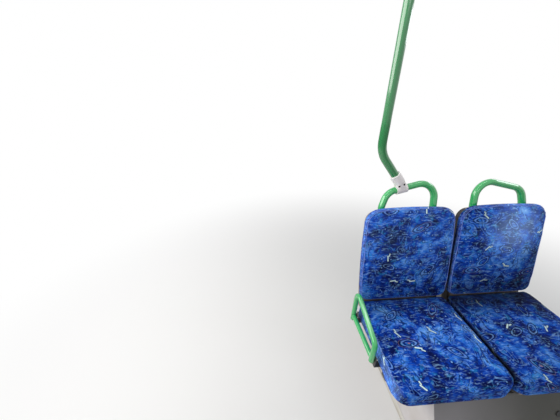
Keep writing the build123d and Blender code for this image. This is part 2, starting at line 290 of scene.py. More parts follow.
# %% Lamps
lamps = [
    # name, place, aimed at, width, height, power, colour
    ("left_lamp", (-2.5, 0.1, 1.9), (0, 0.1, 0.6), 2.8, 1.1, 50, (1, 0.98, 0.95)),
    ("right_lamp", (2.2, 0.5, 2.1), (0, 0.1, 0.6), 2.6, 0.35, 12, (0.93, 0.97, 1)),
    ("top_lamp", (-0.5, 0.1, 2.6), (-0.2, 0.1, 0.5), 0.2, 3.0, 12, (1, 1, 1)),
    ("front_lamp", (-0.4, -3.0, 2.7), (0, 0.3, 0.9), 2.4, 0.4, 10, (1, 1, 1)),
]
for name, place, aim, width, height, power, colour in lamps:
    lamp_data = bpy.data.lights.new(name, "AREA")
    lamp_data.shape = "RECTANGLE"
    lamp_data.size = width
    lamp_data.size_y = height
    lamp_data.energy = power
    lamp_data.color = colour
    lamp = new_object(name, lamp_data)
    lamp.location = place
    lamp.rotation_euler = (Vector(aim) - Vector(place)).to_track_quat("-Z", "Y").to_euler()
    print(name, power, "W")

# %% [markdown]
# ## The CAD nodes' edges
#
# A CAD node comes in as loose triangles with razor edges. Real folded sheet and
# moulded plastic have small rounds that catch the light. The mesh itself may not be
# changed, so modifiers do it: Weld joins the triangles, Bevel rounds what is
# sharper than an angle, and Weighted Normal keeps the flats flat.

# %% Edge rounds for the rigid nodes
edge_rounds = {
    # start of the nodes' names: round in mm, with none on tubes
    "plinth": 1.2, "rail": 0.8, "seat_pan": 1.0, "back_shell": 0.8,
    "handle_sockets": 0.6, "loop_brackets": 0.8, "pole_clamp": 1.0, "ceiling_clamp": 1.0,
    "handle": 0, "loop": 0, "pole": 0,
}
sharp_angle = radians(35)
weld_reach = 0.00002


def shade_smooth(mesh):
    """Shades every face as part of a curve."""
    for polygon in mesh.polygons:
        polygon.use_smooth = True


def soften(node_object, edge_round):
    """Joins a node's triangles, rounds its sharp edges and shades the rest smooth."""
    weld = node_object.modifiers.new("weld", "WELD")
    weld.merge_threshold = weld_reach
    if edge_round:
        bevel = node_object.modifiers.new("edge_round", "BEVEL")
        bevel.width = edge_round
        bevel.segments = 2
        bevel.limit_method = "ANGLE"
        bevel.angle_limit = sharp_angle
    shade_smooth(node_object.data)
    flats = node_object.modifiers.new("flats", "WEIGHTED_NORMAL")
    flats.keep_sharp = True


for name, node_object in nodes.items():
    starts = [start for start in edge_rounds if name.startswith(start)]
    if starts:
        soften(node_object, edge_rounds[max(starts, key=len)] / 1000)
print("softened", sum(1 for node_object in nodes.values() if node_object.modifiers), "nodes")

# %% [markdown]
# ## Gloss paint, plastic and sheet
#
# Each rigid finish starts from one colour and gets what the real one has: powder coat has a faint
# orange peel and wear marks where hands hold it, moulded plastic has a fine grain, and the
# plinth's satin paint has scuff marks and dust near the floor.

# %% Painted tubes
orange_peel_scale = 160
orange_peel_depth = 0.00003


def gloss_paint(name, colour, worn_colour):
    """Gloss powder coat: even colour, faint orange peel, a little dulled where it is held."""
    paint = Finish(name, colour, 0.22, Coat_Weight=1.0, Coat_Roughness=0.08)
    place = paint.object_place()
    rubs = paint.noise(place, 7).rise(0.5, 0.7)
    # Squeezed upright, so that the scratches run round the tubes
    squeezed = paint.object_place((1, 1, 7))
    scratches = paint.noise(squeezed, 60, detail=3).rise(0.68, 0.74)
    paint.feed(Base_Color=paint.blend(rubs * 0.3, colour, worn_colour),
               Roughness=rubs * 0.08 + scratches * 0.1 + 0.16)
    peel = paint.noise(place, orange_peel_scale, detail=1)
    paint.relief(peel, orange_peel_depth, strength=0.3)
    return paint


handle_green = gloss_paint("handle_green", linear(44, 172, 92), linear(76, 196, 122))
pole_green = gloss_paint("pole_green", linear(34, 126, 68), linear(46, 146, 82))
print(handle_green.material.name, pole_green.material.name)

# %% Satin paint, castings and plastic
def satin(name, colour, dust_colour, roughness, grain_scale, grain_depth,
          dust_top=0.0, dust_share=0.35):
    """A satin or moulded finish: a grain, uneven gloss, and dust that gathers below dust_top."""
    paint = Finish(name, colour, roughness)
    paint.place = paint.object_place()
    cloudy = paint.noise(paint.place, 6, detail=5)
    grain = paint.noise(paint.place, grain_scale)
    paint.x = paint.node("SeparateXYZ", inputs={"Vector": paint.place})
    dust = cloudy.rise(0.35, 0.75) * dust_share
    if dust_top:
        height = paint.x.same_node("Z")
        dust = dust + height.rise(dust_top, 0) * cloudy.rise(0.3, 0.6) * 0.6
    # Squeezed along the row, so that the marks run upright and front to back
    squeezed = paint.object_place((3, 1, 1))
    marks = paint.noise(squeezed, 24, detail=6).rise(0.62, 0.72)
    paint.colour = paint.blend(dust, colour, dust_colour)
    paint.feed(Base_Color=paint.colour,
               Roughness=cloudy * 0.16 + marks * 0.1 + (roughness - 0.1))
    paint.relief(grain, grain_depth)
    return paint


clamp_white = satin("clamp_white", linear(238, 233, 234), linear(220, 214, 212), roughness=0.36,
                    grain_scale=150, grain_depth=0.00002, dust_share=0.15)
plinth_light = satin("plinth_light", linear(216, 213, 216), linear(190, 184, 178), roughness=0.42,
                     grain_scale=240, grain_depth=0.00008, dust_top=0.3)
trim_white = satin("trim_white", linear(222, 220, 214), linear(180, 174, 164), roughness=0.35,
                   grain_scale=200, grain_depth=0.00008, dust_top=0.03)
frame_grey = satin("frame_grey", linear(58, 58, 60), linear(88, 86, 82), roughness=0.5,
                   grain_scale=260, grain_depth=0.0001)
print(len(bpy.data.materials), "materials so far")

# %% [markdown]
# The plinth's front sheet gets painted light: paler on the aisle side, in patches, and dark on the
# other. The back shells are brown-grey grained plastic with painted shade, black near the narrow
# gap between the two seats, which is at X = 0: the painted shade covers what lies closest to it,
# and reaches further on the faces that look sideways.

# %% Finishes that change along the row
plinth_dark = satin("plinth_dark", linear(61, 62, 57), linear(80, 78, 72), roughness=0.45,
                    grain_scale=240, grain_depth=0.00008, dust_top=0.3)
# Painted light: paler towards the aisle, in patches
towards_aisle = plinth_dark.x.rise(0.20, -0.26)
aisle_light = towards_aisle * (plinth_dark.noise(plinth_dark.place, 4) * 0.5 + 0.6)
plinth_dark.feed(Base_Color=plinth_dark.blend(aisle_light, plinth_dark.colour, linear(142, 140, 144)))

shell_grey = satin("shell_grey", linear(132, 122, 114), linear(152, 142, 134), roughness=0.5,
                   grain_scale=520, grain_depth=0.00022)
facing = shell_grey.node("TexCoord", output="Normal")
sideways = abs(shell_grey.node("SeparateXYZ", inputs={"Vector": facing})).rise(0.15, 0.45)
from_gap = abs(shell_grey.x)
# Painted shade: near black close to the gap, and further on faces that look sideways
gap_shade = from_gap.rise(0.050, 0.030).most(from_gap.rise(0.110, 0.080) * sideways)
shell_grey.feed(Base_Color=shell_grey.blend(gap_shade * 0.94, shell_grey.colour, linear(16, 14, 14)))
print("finishes along the row:", plinth_dark.material.name, shell_grey.material.name)

# %% [markdown]
# Screws and bolts are zinc plated: bright but blotchy, with dull patches.
# The dark ones and the plugs in the rails' ends are black.

# %% Zinc and black
zinc = Finish("bolt_zinc", linear(176, 176, 172), 0.35, Metallic=0.9)
blotches = zinc.noise(zinc.object_place(), 180, detail=4)
bright, dull = linear(184, 184, 180), linear(140, 134, 122)
zinc.feed(Base_Color=zinc.blend(blotches.rise(0.4, 0.65), bright, dull),
          Roughness=blotches * 0.3 + 0.2)
zinc.relief(blotches, 0.00005)

black_plastic = satin("black_plastic", linear(26, 26, 28), linear(52, 50, 48), roughness=0.45,
                      grain_scale=420, grain_depth=0.00008)
print(zinc.material.name, black_plastic.material.name)

# %% [markdown]
# ## Patterned velour
#
# City bus seats wear short-pile velour with a busy pattern that hides stains: clouds
# of royal, navy and light blue torn by a brush, thin flowing lines, ovals, rings and
# a few short mint flecks. Nothing here is an image. Every motif is a distance, to an
# oval, a ring or a fleck, that a smooth step turns into a mask.
#
# The pattern lies in the cloth, so it needs coordinates that follow the surface.
# Each pad gets a UV map in metres, and each pad starts at another part of the roll.
# Wear and painted light aren't woven in, so they come from three values on the pad's points: one
# for edges worn pale with a painted sheen on them, one for painted light and one for painted
# shade. The pads' own step gives these three, further down.

# %% Motifs as distances
full_turn = 2 * pi


def cells(cloth, place, scale):
    """Scatters cells over the cloth: a place in each, turned at random, and two random numbers."""
    scatter = {"voronoi_dimensions": "2D", "feature": "F1"}
    inputs = {"Vector": place, "Scale": scale, "Randomness": 0.85}
    middle = cloth.node("TexVoronoi", scatter, inputs, output="Position")
    first = cloth.node("SeparateColor", inputs={"Color": middle.same_node("Color")}, output="Red")
    second = first.same_node("Green")
    local = cloth.node("VectorMath", {"operation": "SUBTRACT"}, {0: place, 1: middle})
    turned = cloth.node("VectorRotate", {"rotation_type": "Z_AXIS"},
                        {"Vector": local, "Angle": first * full_turn})
    return turned, first, second


def split_xy(cloth, place):
    """The two coordinates of a place on the cloth."""
    across = cloth.node("SeparateXYZ", inputs={"Vector": place}, output="X")
    return across, across.same_node("Y")


def oval(cloth, place, length, width):
    """1 on an oval's outline and 0 at its middle."""
    x, y = split_xy(cloth, place)
    return ((x * x) / (length * length) + (y * y) / (width * width)) ** 0.5


def line_at(distance, level, half_width):
    """A thin line where a distance passes a level."""
    return abs(distance - level).rise(half_width, half_width * 0.45)


def fleck(cloth, place, x, y, turn, half_length, half_width):
    """The distance outside a short round-ended stroke, in metres."""
    moved = cloth.node("VectorMath", {"operation": "SUBTRACT"}, {0: place, 1: (x, y, 0)})
    turned = cloth.node("VectorRotate", {"rotation_type": "Z_AXIS"},
                        {"Vector": moved, "Angle": radians(turn)})
    along, across = split_xy(cloth, turned)
    over = (abs(along) - half_length).most(0)
    return (over * over + across * across) ** 0.5 - half_width


print("a motif is turned by up to", round(full_turn, 2), "radians")

# %% Colours of the cloth
navy = linear(1, 14, 72)
deep = linear(3, 38, 128)
royal = linear(8, 66, 178)
azure = linear(42, 112, 216)
sky = linear(108, 164, 238)
pale = linear(150, 196, 246)
cyan = linear(40, 148, 214)
mint = linear(222, 250, 250)
tan_thread = linear(176, 128, 110)
ink = linear(1, 6, 44)
lilac = linear(150, 172, 246)
light_haze = linear(112, 140, 190)
cloud_colours = [(0.36, navy), (0.44, deep), (0.515, royal), (0.60, azure), (0.72, sky)]
print("clouds in", len(cloud_colours), "blues")

# %% [markdown]
# The pattern is laid down in layers, as a screen print is: the clouds first, then
# strokes, lines and motifs, each with a mask over what is there. Lengths are in
# metres of cloth, and drift is the place on the cloth with a slow wander added, so
# that what uses it looks drawn by hand.

# %% Clouds, strokes and lines
brush_ways = [
    # turn in degrees, noise at which a light and a dark stroke start
    (24, 0.58, 0.60),
    (-38, 0.60, 0.62),
    (80, 0.62, 0.60),
]
flow_kinds = [
    # clouds to a metre, lines to a cloud, noise at which they start
    (9, 9, 0.45),
    (17, 6, 0.50),
]


def clouds(cloth, flat, drift):
    """Broad clouds of navy, royal and light blue with smaller ones in them."""
    broad = cloth.noise(flat, 7, detail=1)
    small = cloth.noise(drift, 19, detail=4, roughness=0.6)
    tone = small * 0.8 + broad * 0.55 - 0.175
    colour = cloth.node("ValToRGB", {"stops": cloud_colours}, {0: tone})
    patches = cloth.noise(drift, 34).rise(0.58, 0.68)
    return cloth.blend(patches * 0.45, colour, cyan)


def brush_strokes(cloth, drift, colour):
    """Strokes drawn out along three ways of the cloth, light ones and dark ones."""
    for turn, light_start, dark_start in brush_ways:
        drawn_out = cloth.node("Mapping", inputs={
            "Vector": drift, "Rotation": (0, 0, radians(turn)), "Scale": (34, 120, 1)})
        strokes = cloth.noise(drawn_out, 1, distortion=0.8)
        light = strokes.rise(light_start, light_start + 0.1)
        dark = (1 - strokes).rise(dark_start, dark_start + 0.1)
        colour = cloth.blend(light * 0.42, colour, pale)
        colour = cloth.blend(dark * 0.5, colour, navy)
    return colour


def flowing_lines(cloth, flat, drift, colour):
    """Thin lines that flow round the clouds, a light and a dark one side by side."""
    for scale, count, start in flow_kinds:
        swirl = cloth.noise(drift, scale, detail=1, distortion=1.0)
        bands = (swirl * count).maths("FRACT")
        where = cloth.noise(flat, scale * 0.9).rise(start, start + 0.12)
        colour = cloth.blend(line_at(bands, 0.34, 0.13) * where * 0.4, colour, sky)
        colour = cloth.blend(line_at(bands, 0.6, 0.12) * where * 0.62, colour, ink)
    return colour


print("brush strokes along", len(brush_ways), "ways, and lines of", len(flow_kinds), "kinds")

# %% Ovals, rings and flecks
oval_length, oval_width = 0.038, 0.016
ring_radius, dot_radius = 0.0068, 0.0040
fleck_strokes = [
    # x, y, turn, half length, half width, in mm and degrees
    (0, 3, 12, 12, 3.0),
    (14, -8, 34, 5.5, 2.6),
]


def ovals(cloth, drift, colour):
    """Ovals in two dark outlines and a pale one, some with tan stitches."""
    place, pick, tint = cells(cloth, drift, 6.6)
    outline = oval(cloth, place, oval_length, oval_width)
    shown = pick.rise(0.34, 0.38)
    for level in (1.0, 0.55):
        colour = cloth.blend(line_at(outline, level, 0.12) * shown * 0.75, colour, ink)
    colour = cloth.blend(line_at(outline, 0.78, 0.1) * shown * 0.35, colour, pale)
    stitched = shown * tint.rise(0.5, 0.52)
    colour = cloth.blend(line_at(outline, 1.16, 0.05) * stitched * 0.25, colour, tan_thread)
    return cloth.blend(outline.rise(0.2, 0.1) * stitched * 0.8, colour, tan_thread)


def rings(cloth, flat, colour):
    """Small dark rings, some with a pale dot in them."""
    place, pick, tint = cells(cloth, flat, 26)
    radius = cloth.node("VectorMath", {"operation": "LENGTH"}, {0: place}, output="Value")
    shown = pick.rise(0.55, 0.6)
    colour = cloth.blend(line_at(radius, ring_radius, 0.0022) * shown * 0.55, colour, ink)
    dots = radius.rise(dot_radius, dot_radius / 2)
    return cloth.blend(dots * shown * tint * 0.8, colour, pale)


def flecks(cloth, flat, colour):
    """Mint flecks of two strokes, in a dark shade that sets them off."""
    # Moved aside on the cloth, so that their cells aren't the ovals' cells again
    aside = cloth.node("VectorMath", {"operation": "ADD"}, {0: flat, 1: (0.37, 0.21, 0)})
    place, pick, tint = cells(cloth, aside, 6.2)
    nearest = None
    for x, y, turn, half_length, half_width in fleck_strokes:
        stroke = fleck(cloth, place, x / 1000, y / 1000, turn,
                       half_length / 1000, half_width / 1000)
        nearest = stroke if nearest is None else nearest.least(stroke)
    shown = pick.rise(0.3, 0.34)
    colour = cloth.blend(nearest.rise(0.0034, 0.0012) * shown * 0.6, colour, ink)
    return cloth.blend(nearest.rise(0.0008, -0.0010) * shown * (tint * 0.3 + 0.65), colour, mint)


print("ovals", 2000 * oval_length, "mm long, and flecks of", len(fleck_strokes), "strokes")

# %% The velour
pile_depth = 0.0005
# Edges worn pale with a painted sheen, painted light and painted shade
wear_and_light_kinds = ("rub", "fade", "soil")


def velour(name):
    """Short-pile velour, with its pattern on the pad's UV map in metres."""
    cloth = Finish(name, royal, 0.8, Sheen_Weight=0.03, Sheen_Roughness=0.4,
                   Sheen_Tint=(0.5, 0.7, 1, 1), Specular_IOR_Level=0.06)
    flat = cloth.node("UVMap", {"uv_map": "cloth"})
    wander = cloth.noise(flat, 14, output="Color")
    drift = cloth.node("VectorMath", {"operation": "MULTIPLY_ADD"},
                       {0: wander, 1: (0.02, 0.02, 0), 2: flat})

    colour = clouds(cloth, flat, drift)
    colour = brush_strokes(cloth, drift, colour)
    colour = flowing_lines(cloth, flat, drift, colour)
    colour = ovals(cloth, drift, colour)
    colour = rings(cloth, flat, colour)
    colour = flecks(cloth, flat, colour)

    # Wear and painted light: edges worn pale with a painted sheen on them, and painted pools of
    # light
    rub, fade, soil = (cloth.node("Attribute", {"attribute_name": wear}, output="Fac")
                       for wear in wear_and_light_kinds)
    colour = cloth.blend(rub * (cloth.noise(flat, 60, detail=3) * 0.8 + 0.1), colour, lilac)
    colour = cloth.blend(fade * 0.6, colour, light_haze, "SCREEN")

    # The pile: each tuft a little lighter or darker; painted shade darkens it and painted light
    # brightens it
    pile = cloth.noise(flat, 700)
    tufts = cloth.noise(flat, 190)
    shade = (pile * 0.3 + tufts * 0.4 + 0.65) * (1 - soil) * (fade * 0.7 + 1)
    grey = cloth.node("CombineColor", inputs={0: shade, 1: shade, 2: shade})
    colour = cloth.blend(1, colour, grey, "MULTIPLY")
    cloth.feed(Base_Color=colour, Roughness=pile * 0.3 + 0.6)
    cloth.relief(pile * 0.5 + tufts * 0.5, pile_depth, strength=0.7)
    return cloth


fabric_blue = velour("fabric_blue")
print("velour nodes:", len(fabric_blue.tree.nodes))

# %% [markdown]
# ## Stuffed pads
#
# A pad is foam under tight cloth: crowned in the middle, full at the edges, straight
# along its border and flat where it rests on its pan, its shell or the other pad. A
# subdivided box would look inflated everywhere, so each pad starts as the CAD solid,
# with its face drawn in a little and its border filled out, and is blown up as a
# closed cloth that is held along the border and where it rests. Both seats have the
# same pads, so each kind is simulated once and moved to the other seat.
#
# A voxel remesh lays its quads on an upright grid, in which a tilted pad comes out in
# steps. So the pad is turned face up for it, turned back, and then evened out.

# %% Sizes that the pads share with the CAD model
seat_pitch = 0.450
waist_y = 0.138
waist_z = 0.482
back_tilt = radians(12.5)
back_pad_depth = 0.034
pan_top = 0.390

up = Vector((0, 0, 1))
rearward = Vector((0, 1, 0))
forward = Vector((0, -cos(back_tilt), sin(back_tilt)))
up_back = Vector((0, sin(back_tilt), cos(back_tilt)))
shell_foot = Vector((0, waist_y + back_pad_depth / cos(back_tilt), waist_z))
print("the back pads' foot:", [round(x, 3) for x in shell_foot])

# %% What a kind of pad is made from
PadKind = namedtuple("PadKind", [
    "name",
    "facing",     # the way its face looks
    "along",      # the way up its face
    "centre",     # where its pattern and wear are measured from, for a seat at X = 0
    "roll",       # how much further along the roll its cloth is cut
    # wear: the function also gives each point's painted light and painted shade
    "wear",       # the function that says how worn a point of it is
    "rests",      # the ways in which it lies on something
    "fill",       # how far its border is filled out
    "pressure",   # of the air that blows it up
    "most_move",  # the most that the air may move a point
    "seam",       # a place on the plane of its seam
    "cord",       # the thickness of its welt
])
print("facts about a kind of pad:", len(PadKind._fields))

# %% Helpers for meshes
smoothing = 0.5


def bake_modifiers(piece):
    """Makes a piece's mesh what its modifiers show, and drops them."""
    seen = piece.evaluated_get(bpy.context.evaluated_depsgraph_get())
    old = piece.data
    new = bpy.data.meshes.new_from_object(seen)
    piece.modifiers.clear()
    piece.data = new
    bpy.data.meshes.remove(old)


def smooth(form, times):
    """Moves every point of a form part of the way to the middle of its neighbours."""
    for turn in range(times):
        bmesh.ops.smooth_vert(form, verts=form.verts, factor=smoothing,
                              use_axis_x=True, use_axis_y=True, use_axis_z=True)


def even_out(mesh, times):
    """Smooths away the small steps that a remesh leaves."""
    form = bmesh.new()
    form.from_mesh(mesh)
    smooth(form, times)
    form.to_mesh(mesh)
    form.free()


print("each smoothing moves a point", smoothing, "of the way")

# %% Foam from a CAD solid
voxel = 0.006
face_draw = 0.003
# A point rests where its normal looks this much the way that the pad rests, and it is
# on the border where its normal looks less than this along the pad's own facing
resting_above = 0.8
border_below = 0.25


def fill_out(piece, kind):
    """Fills a pad's border out, draws its face in and marks what the cloth can't move."""
    held = piece.vertex_groups.new(name="held")
    normals = [vertex.normal.copy() for vertex in piece.data.vertices]
    for vertex, normal in zip(piece.data.vertices, normals):
        outward = normal.dot(kind.facing)
        resting = any(normal.dot(way) > resting_above for way in kind.rests)
        if resting or abs(outward) < border_below:
            held.add([vertex.index], 1, "REPLACE")
        if not resting:
            sideways = normal - kind.facing * outward
            inward = kind.facing * (face_draw * max(0, outward))
            vertex.co += sideways * kind.fill - inward


def foam(kind):
    """An even quad skin round the aisle seat's CAD pad."""
    form = bmesh.new()
    form.from_mesh(nodes[kind.name + "_aisle"].data)
    bmesh.ops.remove_doubles(form, verts=form.verts, dist=weld_reach)
    face_up = kind.facing.rotation_difference(up).to_matrix().to_4x4()
    bmesh.ops.transform(form, matrix=face_up, verts=form.verts)
    piece = new_object(kind.name, mesh_from(kind.name, form))
    remesh = piece.modifiers.new("remesh", "REMESH")
    remesh.mode = "VOXEL"
    remesh.voxel_size = voxel
    bake_modifiers(piece)
    piece.data.transform(face_up.inverted())
    even_out(piece.data, 1)
    fill_out(piece, kind)
    even_out(piece.data, 2)
    return piece


print("the foam's quads are", voxel * 1000, "mm wide")

# %% Blow a pad up as cloth
cloth_frames = 20


def inflate(piece, kind):
    """Cloth with air in it, held by its vertex group, with a limit on each point's move."""
    start = [vertex.co.copy() for vertex in piece.data.vertices]
    cloth = piece.modifiers.new("cloth", "CLOTH")
    cloth.settings.quality = 5
    cloth.settings.mass = 0.3
    cloth.settings.use_pressure = True
    cloth.settings.uniform_pressure_force = kind.pressure
    cloth.settings.vertex_group_mass = "held"
    cloth.settings.effector_weights.gravity = 0
    cloth.settings.tension_stiffness = 15
    cloth.settings.bending_stiffness = 0.5
    cloth.point_cache.frame_end = cloth_frames
    for frame_number in range(1, cloth_frames + 1):
        bpy.context.scene.frame_set(frame_number)
    bake_modifiers(piece)
    for vertex, place in zip(piece.data.vertices, start):
        move = vertex.co - place
        if move.length > kind.most_move:
            vertex.co = place + move.normalized() * kind.most_move
    bpy.context.scene.frame_set(1)


def subdivide(piece):
    """Divides every quad once and shades the piece smooth."""
    finer = piece.modifiers.new("subdivision", "SUBSURF")
    finer.levels = finer.render_levels = 1
    bake_modifiers(piece)
    shade_smooth(piece.data)


print("the cloth is blown up in", cloth_frames, "frames")

# %% [markdown]
# ## Cloth, wear, painted light and painted shade on the pads
#
# The cloth lies flat on a pad's face and is folded down its sides. So a point's place on the cloth
# is its place on the face, plus its depth below the face in the way that the side looks. Wear,
# painted light and painted shade depend on the same numbers: where a point lies, and which way it
# looks. Painting them would need an image, so a function for each kind of pad works them out.

# %% Wear, painted light and painted shade at a point of a pad
def step(value, low, high):
    """0 below low, 1 above high and a smooth step between; low above high turns it round."""
    part = min(1, max(0, (value - low) / (high - low)))
    return part * part * (3 - 2 * part)


# Both functions get the point's place along the row, its place across and up the pad's face, how
# far it lies below the face's top, all in metres, and how much its normal looks across, up and out
# of the face. They give the wear, the painted light and the painted shade, each from 0 to 1.
def seat_wear(row_x, x, y, drop, side, end, face):
    """Edges worn pale with a painted sheen, painted light on the aisle side, and painted shade in
    the crease, on the inner side and at the nose.
    """
    window = step(row_x, -0.02, 0.02)
    # Edges worn pale, with a painted sheen on them
    rubbed_and_lit_edge = max(0, 1 - abs(face - 0.6) / 0.3) * step(abs(side), 0.3, 0.6)
    # Painted light on the cushion's aisle side
    lit_aisle_side = step(-side, 0.5, 0.9) * step(-row_x, 0.40, 0.43)
    # Painted shade in the crease, more on the window seat, on the inner side in the gap between
    # the seats and at the nose
    crease = 0.5 * step(y, -0.01, 0.12) + window * (0.18 + 0.16 * step(y, -0.03, 0.08))
    inner = step(abs(row_x), 0.020, 0.004) * step(drop, 0.004, 0.014)
    nose = step(-end, 0.5, 0.95) * step(drop, 0.02, 0.05)
    return {"rub": 0.6 * rubbed_and_lit_edge, "fade": 0.48 * lit_aisle_side,
            "soil": max(crease, 0.95 * inner, 0.12 * nose)}


def back_wear(row_x, x, y, drop, side, end, face):
    """An edge worn pale with a painted sheen; painted shade at the foot, on the inner side and in
    the window back's lower outer corner; painted light on the aisle back's upper part and in a
    patch on the window back.
    """
    window = step(row_x, -0.05, 0.05)
    # Edges worn pale, with a painted sheen on them
    rubbed_and_lit_edge = max(0, 1 - abs(face - 0.5) / 0.35) * step(max(abs(side), end), 0.3, 0.6)
    # A painted pool of light on the window back, and painted light on the upper aisle back
    off_patch = ((x - 0.06) ** 2 / 0.026 + (y - 0.34) ** 2 / 0.022) ** 0.5
    patch = window * step(off_patch, 1.35, 0.1)
    upper = 0.10 * (1 - window) * step(y, 0.05, 0.30)
    # Painted shade at the foot, on the inner side in the gap between the seats and in the window
    # back's lower outer corner
    foot = (0.22 + 0.20 * window) * step(y, 0.26, 0.02)
    inner = step(abs(row_x), 0.016, 0.004) * step(drop, 0.010, 0.020)
    corner = 0.5 * window * step(x, 0.04, 0.19) * step(y, 0.34, 0.16)
    return {"rub": 0.85 * rubbed_and_lit_edge, "fade": patch + upper,
            "soil": max(foot, 0.9 * inner, corner)}


print("halfway up a step:", step(0.5, 0, 1))

# %% Lay the cloth on a pad
def dress(piece, kind, middle, roll_place):
    """Lays the cloth over a pad's face and on down its sides, in metres, and gives it its wear,
    painted light and painted shade.
    """
    mesh = piece.data
    across = Vector((1, 0, 0))
    centre = kind.centre + across * middle
    laid = mesh.uv_layers.new(name="cloth")
    wear_and_light = {name: mesh.attributes.new(name, "FLOAT", "POINT") for name in wear_and_light_kinds}
    top = max((vertex.co - centre).dot(kind.facing) for vertex in mesh.vertices)
    flat = []
    for vertex in mesh.vertices:
        place = vertex.co - centre
        x, y, drop = place.dot(across), place.dot(kind.along), top - place.dot(kind.facing)
        side, end, face = (vertex.normal.dot(way) for way in (across, kind.along, kind.facing))
        flat.append((x + drop * side + roll_place[0], y + drop * end + roll_place[1]))
        for name, amount in kind.wear(vertex.co.x, x, y, drop, side, end, face).items():
            wear_and_light[name].data[vertex.index].value = amount
    for loop in mesh.loops:
        laid.data[loop.index].uv = flat[loop.vertex_index]
    mesh.materials.clear()
    mesh.materials.append(fabric_blue.material)


# The three kinds are worn edges with a painted sheen, painted light and painted shade
print("a pad gets a UV map and", len(wear_and_light_kinds), "kinds of wear")

# %% [markdown]
# ## Seams
#
# Each cover is sewn from a face and a border with a thin welt between them. The
# remesh and the cloth would rub out such a narrow line, so it comes after them: the
# pad is pinched along a plane, and the line where that plane cuts the pad, which
# bisect_plane gives, is smoothed and becomes the welt's path.

# %% A seam round a pad
pinch_depth = 0.0016
pinch_reach = 0.006
# A point whose normal looks this much along the pad's facing is on its face, not its border
face_above = 0.8


def pinch(pad, kind):
    """Draws a pad's border in along the plane of its seam."""
    for vertex in pad.data.vertices:
        off = abs((vertex.co - kind.seam).dot(kind.facing))
        if off < pinch_reach and abs(vertex.normal.dot(kind.facing)) < face_above:
            vertex.co -= vertex.normal * (pinch_depth * (1 - (off / pinch_reach) ** 2))


print("the seam is pinched", pinch_depth * 1000, "mm deep")

# %% A welt along the seam
cut_reach = 0.00001
shortest_edge = 0.0008
welt_smoothing = 16


def ring_points(form):
    """The points of a ring of edges, one after the other."""
    form.verts.ensure_lookup_table()
    start = here = form.verts[0]
    edge = here.link_edges[0]
    points = []
    while not points or here is not start:
        points.append((*here.co, 1))
        here = edge.other_vert(here)
        edge = next(other for other in here.link_edges if other is not edge)
    return points


def welt(name, pad, kind):
    """A thin round cord along the line where the seam's plane cuts a pad."""
    form = bmesh.new()
    form.from_mesh(pad.data)
    bmesh.ops.bisect_plane(form, geom=form.verts[:] + form.edges[:] + form.faces[:],
                           dist=cut_reach, plane_co=kind.seam, plane_no=kind.facing,
                           clear_inner=True, clear_outer=True)
    bmesh.ops.remove_doubles(form, verts=form.verts, dist=shortest_edge)
    smooth(form, welt_smoothing)
    points = ring_points(form)
    form.free()
    line = bpy.data.curves.new(name, "CURVE")
    line.dimensions = "3D"
    line.bevel_depth = kind.cord / 2
    line.bevel_resolution = 2
    ring = line.splines.new("POLY")
    ring.points.add(len(points) - 1)
    ring.points.foreach_set("co", [value for point in points for value in point])
    ring.use_cyclic_u = True
    drawn = new_object(name, line)
    seen = drawn.evaluated_get(bpy.context.evaluated_depsgraph_get())
    cord = bpy.data.objects.new(name, bpy.data.meshes.new_from_object(seen))
    bpy.data.objects.remove(drawn)
    shade_smooth(cord.data)
    return cord


print("a welt's path is smoothed", welt_smoothing, "times")

# %% The welt's thread
# The backs' welts are worn pale and given a painted sheen, and the seats' stay dark, hence the
# height
edge_thread = Finish("edge_thread", linear(74, 104, 190), 0.8, Specular_IOR_Level=0.1)
thread_place = edge_thread.object_place()
twist = edge_thread.noise(thread_place, 260)
rubs = edge_thread.noise(thread_place, 22, detail=3).rise(0.35, 0.65) * 0.5 + 0.5
height = edge_thread.node("SeparateXYZ", inputs={"Vector": thread_place}, output="Z")
back_welt_sheen = height.rise(0.46, 0.52) * 0.55 + 0.2
thread = edge_thread.blend(twist.rise(0.35, 0.6), deep, royal)
edge_thread.feed(Base_Color=edge_thread.blend(rubs * back_welt_sheen, thread, lilac))
edge_thread.relief(twist, 0.0004)
print(edge_thread.material.name)

# %% [markdown]
# Each kind of pad goes through the same steps: foam, air, one subdivision, a little evening out,
# then the pinch and the welt of its seam. The aisle seat's pad is the model. Both seats get a
# copy, moved along the row, with a stretch of cloth, wear, painted light and painted shade of its
# own.

# %% Simulate one pad of each kind
seam_height = 0.030
seam_depth = 0.027

pad_kinds = [
    PadKind("seat_pad", facing=up, along=rearward, centre=Vector((0, 0, waist_z)),
            roll=(0, 0), wear=seat_wear, rests=[-up, rearward], fill=0.002, pressure=4,
            most_move=0.009, seam=Vector((0, 0, pan_top + seam_height)), cord=0.0022),
    PadKind("back_pad", facing=forward, along=up_back, centre=shell_foot,
            roll=(0.31, 0.77), wear=back_wear, rests=[-forward, -up_back, -up], fill=0.005,
            pressure=4, most_move=0.008, seam=shell_foot + forward * seam_depth, cord=0.0026),
]
simulated = []
for kind in pad_kinds:
    pad = foam(kind)
    inflate(pad, kind)
    subdivide(pad)
    even_out(pad.data, 4)
    pinch(pad, kind)
    simulated.append((kind, pad, welt(kind.name + "_welt", pad, kind)))
    print(kind.name, len(pad.data.polygons), "faces", [round(x, 3) for x in pad.dimensions])

# %% Give both seats their pads
seats = [
    # name, the seat's middle, where its cloth starts on the roll
    ("aisle", -seat_pitch / 2, (0.0, 0.0)),
    ("window", seat_pitch / 2, (0.63, 0.41)),
]


def for_seat(model, name, middle):
    """A copy of a piece of the aisle seat, moved along the row in its mesh."""
    copy = new_object(name, model.data.copy())
    copy.data.transform(Matrix.Translation((middle + seat_pitch / 2, 0, 0)))
    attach(copy, "root")
    return copy


